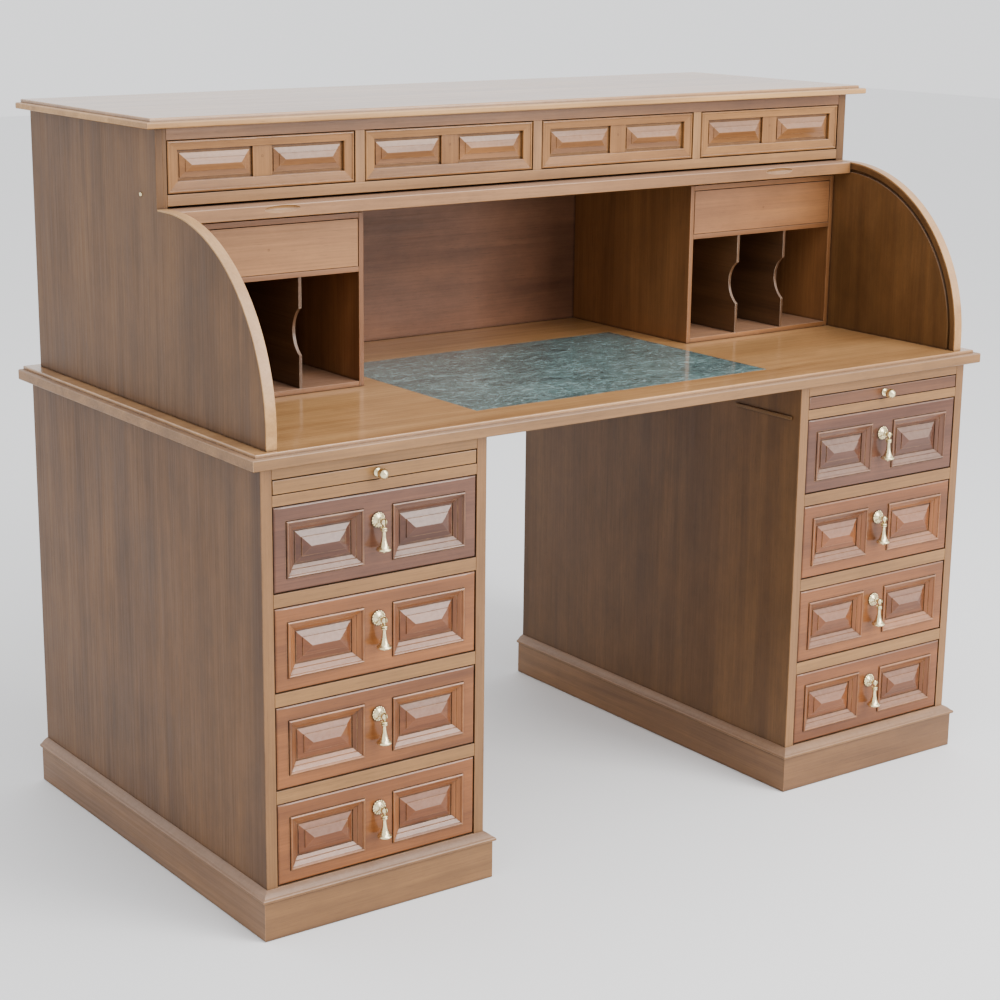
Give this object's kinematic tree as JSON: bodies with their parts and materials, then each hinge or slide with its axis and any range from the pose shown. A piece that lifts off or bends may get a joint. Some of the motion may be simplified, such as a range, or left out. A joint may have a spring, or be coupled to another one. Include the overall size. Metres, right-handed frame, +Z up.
{
  "type": "roll top desk",
  "caption": "Twin-pedestal walnut roll top desk: tambour hutch, panelled drawers with brass drop pulls, pigeonholes, writing slides and a marble inset.",
  "frame": {"origin": "bottom centre of the bounding box, on the floor", "axes": "+X along the desk's width to the sitter's right, -Y towards the sitter, +Z up"},
  "size_m": [1.5, 0.8128, 1.203],
  "materials": {
    "walnut_top": "polished walnut with a reflective top coat",
    "walnut_panel": "satin brown walnut veneer, grain upright",
    "walnut_rail": "satin light walnut",
    "walnut_drawer": "satin red-brown walnut",
    "walnut_interior": "satin pale walnut",
    "walnut_tambour": "satin walnut slats",
    "walnut_back": "plain sealed walnut panel",
    "marble_inset": "polished green marble with pale veins",
    "brass": "polished, slightly worn"
  },
  "bodies": {
    "root": {"main_top": "walnut_top", "writing_inset": "marble_inset", "left_pedestal_outer_side": "walnut_panel", "left_pedestal_inner_side": "walnut_panel", "left_pedestal_back": "walnut_back", "left_runner_frame": "walnut_rail", "left_plinth": "walnut_rail", "right_pedestal_outer_side": "walnut_panel", "right_pedestal_inner_side": "walnut_panel", "right_pedestal_back": "walnut_back", "right_runner_frame": "walnut_rail", "right_plinth": "walnut_rail", "hutch_left_side": "walnut_panel", "hutch_right_side": "walnut_panel", "hutch_back": "walnut_back", "hutch_top": "walnut_top", "upper_drawer_case": "walnut_rail", "interior_back": "walnut_panel", "left_pigeonhole_unit": "walnut_interior", "right_pigeonhole_unit": "walnut_interior"},
    "left_drawer_1": {"left_drawer_1": "walnut_drawer", "left_handle_plate_1": "brass"},
    "left_handle_drop_1": {"left_handle_drop_1": "brass"},
    "left_drawer_2": {"left_drawer_2": "walnut_drawer", "left_handle_plate_2": "brass"},
    "left_handle_drop_2": {"left_handle_drop_2": "brass"},
    "left_drawer_3": {"left_drawer_3": "walnut_drawer", "left_handle_plate_3": "brass"},
    "left_handle_drop_3": {"left_handle_drop_3": "brass"},
    "left_drawer_4": {"left_drawer_4": "walnut_drawer", "left_handle_plate_4": "brass"},
    "left_handle_drop_4": {"left_handle_drop_4": "brass"},
    "left_writing_slide": {"left_writing_slide": "walnut_rail", "left_slide_knob": "brass"},
    "right_drawer_1": {"right_drawer_1": "walnut_drawer", "right_handle_plate_1": "brass"},
    "right_handle_drop_1": {"right_handle_drop_1": "brass"},
    "right_drawer_2": {"right_drawer_2": "walnut_drawer", "right_handle_plate_2": "brass"},
    "right_handle_drop_2": {"right_handle_drop_2": "brass"},
    "right_drawer_3": {"right_drawer_3": "walnut_drawer", "right_handle_plate_3": "brass"},
    "right_handle_drop_3": {"right_handle_drop_3": "brass"},
    "right_drawer_4": {"right_drawer_4": "walnut_drawer", "right_handle_plate_4": "brass"},
    "right_handle_drop_4": {"right_handle_drop_4": "brass"},
    "right_writing_slide": {"right_writing_slide": "walnut_rail", "right_slide_knob": "brass"},
    "upper_drawer_1": {"upper_drawer_1": "walnut_drawer"},
    "upper_drawer_2": {"upper_drawer_2": "walnut_drawer"},
    "upper_drawer_3": {"upper_drawer_3": "walnut_drawer"},
    "upper_drawer_4": {"upper_drawer_4": "walnut_drawer"},
    "left_small_drawer": {"left_small_drawer": "walnut_interior"},
    "right_small_drawer": {"right_small_drawer": "walnut_interior"},
    "tambour_rail": {"tambour_lift_rail": "walnut_tambour"},
    "tambour_section_1": {"tambour_section_1": "walnut_tambour"},
    "tambour_section_2": {"tambour_section_2": "walnut_tambour"},
    "tambour_section_3": {"tambour_section_3": "walnut_tambour"},
    "tambour_section_4": {"tambour_section_4": "walnut_tambour"},
    "tambour_section_5": {"tambour_section_5": "walnut_tambour"}
  },
  "joints": [
    {"name": "left_drawer_1_slide", "type": "slide", "parent": "root", "child": "left_drawer_1", "axis": [0, -1, 0], "range_m": [0, 0.45]},
    {"name": "left_handle_drop_1_swing", "type": "hinge", "parent": "left_drawer_1", "child": "left_handle_drop_1", "pos_m": [-0.52875, -0.39463, 0.6247], "axis": [-1, 0, 0], "range_deg": [-5, 80]},
    {"name": "left_drawer_2_slide", "type": "slide", "parent": "root", "child": "left_drawer_2", "axis": [0, -1, 0], "range_m": [0, 0.45]},
    {"name": "left_handle_drop_2_swing", "type": "hinge", "parent": "left_drawer_2", "child": "left_handle_drop_2", "pos_m": [-0.52875, -0.39463, 0.47173], "axis": [-1, 0, 0], "range_deg": [-5, 80]},
    {"name": "left_drawer_3_slide", "type": "slide", "parent": "root", "child": "left_drawer_3", "axis": [0, -1, 0], "range_m": [0, 0.45]},
    {"name": "left_handle_drop_3_swing", "type": "hinge", "parent": "left_drawer_3", "child": "left_handle_drop_3", "pos_m": [-0.52875, -0.39463, 0.31875], "axis": [-1, 0, 0], "range_deg": [-5, 80]},
    {"name": "left_drawer_4_slide", "type": "slide", "parent": "root", "child": "left_drawer_4", "axis": [0, -1, 0], "range_m": [0, 0.45]},
    {"name": "left_handle_drop_4_swing", "type": "hinge", "parent": "left_drawer_4", "child": "left_handle_drop_4", "pos_m": [-0.52875, -0.39463, 0.16578], "axis": [-1, 0, 0], "range_deg": [-5, 80]},
    {"name": "left_writing_slide_pull", "type": "slide", "parent": "root", "child": "left_writing_slide", "axis": [0, -1, 0], "range_m": [0, 0.34]},
    {"name": "right_drawer_1_slide", "type": "slide", "parent": "root", "child": "right_drawer_1", "axis": [0, -1, 0], "range_m": [0, 0.45]},
    {"name": "right_handle_drop_1_swing", "type": "hinge", "parent": "right_drawer_1", "child": "right_handle_drop_1", "pos_m": [0.52875, -0.39463, 0.6247], "axis": [-1, 0, 0], "range_deg": [-5, 80]},
    {"name": "right_drawer_2_slide", "type": "slide", "parent": "root", "child": "right_drawer_2", "axis": [0, -1, 0], "range_m": [0, 0.45]},
    {"name": "right_handle_drop_2_swing", "type": "hinge", "parent": "right_drawer_2", "child": "right_handle_drop_2", "pos_m": [0.52875, -0.39463, 0.47173], "axis": [-1, 0, 0], "range_deg": [-5, 80]},
    {"name": "right_drawer_3_slide", "type": "slide", "parent": "root", "child": "right_drawer_3", "axis": [0, -1, 0], "range_m": [0, 0.45]},
    {"name": "right_handle_drop_3_swing", "type": "hinge", "parent": "right_drawer_3", "child": "right_handle_drop_3", "pos_m": [0.52875, -0.39463, 0.31875], "axis": [-1, 0, 0], "range_deg": [-5, 80]},
    {"name": "right_drawer_4_slide", "type": "slide", "parent": "root", "child": "right_drawer_4", "axis": [0, -1, 0], "range_m": [0, 0.45]},
    {"name": "right_handle_drop_4_swing", "type": "hinge", "parent": "right_drawer_4", "child": "right_handle_drop_4", "pos_m": [0.52875, -0.39463, 0.16578], "axis": [-1, 0, 0], "range_deg": [-5, 80]},
    {"name": "right_writing_slide_pull", "type": "slide", "parent": "root", "child": "right_writing_slide", "axis": [0, -1, 0], "range_m": [0, 0.34]},
    {"name": "upper_drawer_1_slide", "type": "slide", "parent": "root", "child": "upper_drawer_1", "axis": [0, -1, 0], "range_m": [0, 0.27]},
    {"name": "upper_drawer_2_slide", "type": "slide", "parent": "root", "child": "upper_drawer_2", "axis": [0, -1, 0], "range_m": [0, 0.27]},
    {"name": "upper_drawer_3_slide", "type": "slide", "parent": "root", "child": "upper_drawer_3", "axis": [0, -1, 0], "range_m": [0, 0.27]},
    {"name": "upper_drawer_4_slide", "type": "slide", "parent": "root", "child": "upper_drawer_4", "axis": [0, -1, 0], "range_m": [0, 0.27]},
    {"name": "left_small_drawer_slide", "type": "slide", "parent": "root", "child": "left_small_drawer", "axis": [0, -1, 0], "range_m": [0, 0.12]},
    {"name": "right_small_drawer_slide", "type": "slide", "parent": "root", "child": "right_small_drawer", "axis": [0, -1, 0], "range_m": [0, 0.12]},
    {"name": "tambour_roll", "type": "hinge", "parent": "root", "child": "tambour_rail", "pos_m": [0, -0.08213, 0.7695], "axis": [1, 0, 0], "range_deg": [0, 90]},
    {"name": "tambour_section_1_roll", "type": "hinge", "parent": "root", "child": "tambour_section_1", "pos_m": [0, -0.04577, 0.72286], "axis": [1, 0, 0], "range_deg": [0, 75.26]},
    {"name": "tambour_section_2_roll", "type": "hinge", "parent": "root", "child": "tambour_section_2", "pos_m": [0, -0.00272, 0.6236], "axis": [1, 0, 0], "range_deg": [0, 57.47]},
    {"name": "tambour_section_3_roll", "type": "hinge", "parent": "root", "child": "tambour_section_3", "pos_m": [0, 0.04066, 0.42633], "axis": [1, 0, 0], "range_deg": [0, 39.68]},
    {"name": "tambour_section_4_roll", "type": "hinge", "parent": "root", "child": "tambour_section_4", "pos_m": [0, 0.08522, -0.09702], "axis": [1, 0, 0], "range_deg": [0, 21.89]},
    {"name": "tambour_section_5_roll", "type": "hinge", "parent": "root", "child": "tambour_section_5", "pos_m": [0, 0.14629, -5.1521], "axis": [1, 0, 0], "range_deg": [0, 4.09]}
  ],
  "couplings": [
    {"joint": "tambour_section_1_roll", "follows": "tambour_roll", "ratio": 0.83612},
    {"joint": "tambour_section_2_roll", "follows": "tambour_roll", "ratio": 0.63843},
    {"joint": "tambour_section_3_roll", "follows": "tambour_roll", "ratio": 0.44074},
    {"joint": "tambour_section_4_roll", "follows": "tambour_roll", "ratio": 0.24305},
    {"joint": "tambour_section_5_roll", "follows": "tambour_roll", "ratio": 0.045363}
  ]
}
